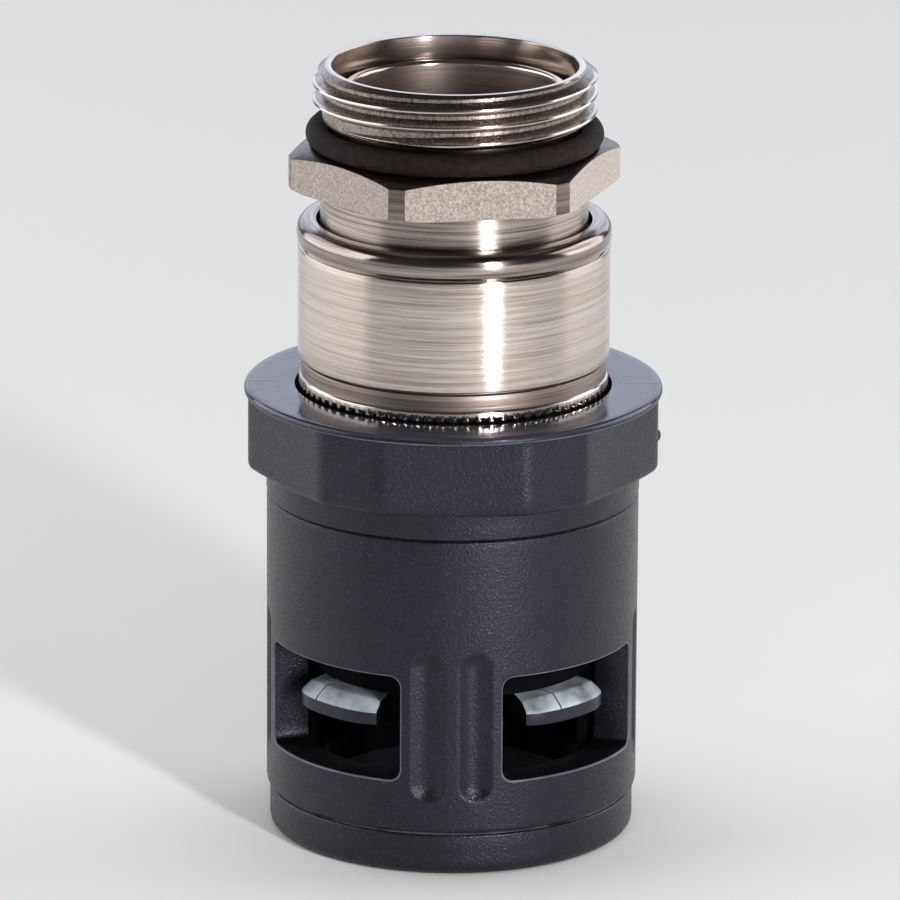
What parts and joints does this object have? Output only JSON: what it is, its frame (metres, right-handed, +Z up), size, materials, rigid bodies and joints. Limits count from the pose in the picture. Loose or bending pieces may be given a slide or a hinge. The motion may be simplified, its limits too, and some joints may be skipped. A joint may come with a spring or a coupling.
{
  "type": "liquidtight conduit connector",
  "caption": "Straight liquidtight connector that snaps onto corrugated conduit and screws into a box wall, with a swivelling metal thread.",
  "frame": {"origin": "bottom centre, on the lower face of the locking ring, on the axis of the conduit", "axes": "+Z up the axis, out of the threaded end; +X and -Y through two of the four windows"},
  "size_m": [0.0368, 0.0368, 0.0691],
  "materials": {
    "nylon": "moulded, finely grained",
    "nickel_brass": "nickel plated, fine turned",
    "rubber": "matt"
  },
  "bodies": {
    "shell": {"body_shell": "nylon", "conduit_seal": "rubber", "swivel_sleeve": "nickel_brass", "liner_tube": "nickel_brass", "shank_o_ring": "rubber", "swivel_o_ring": "rubber"},
    "nipple": {"threaded_nipple": "nickel_brass", "thread_o_ring": "rubber"},
    "lock": {"locking_ring": "nylon"}
  },
  "joints": [
    {"name": "nipple_swivel", "type": "hinge", "parent": "shell", "child": "nipple", "pos_m": [0, 0, 0.05], "axis": [0, 0, 1], "continuous": true},
    {"name": "ring_release", "type": "slide", "parent": "shell", "child": "lock", "axis": [0, 0, -1], "range_m": [0, 0.0038]}
  ]
}
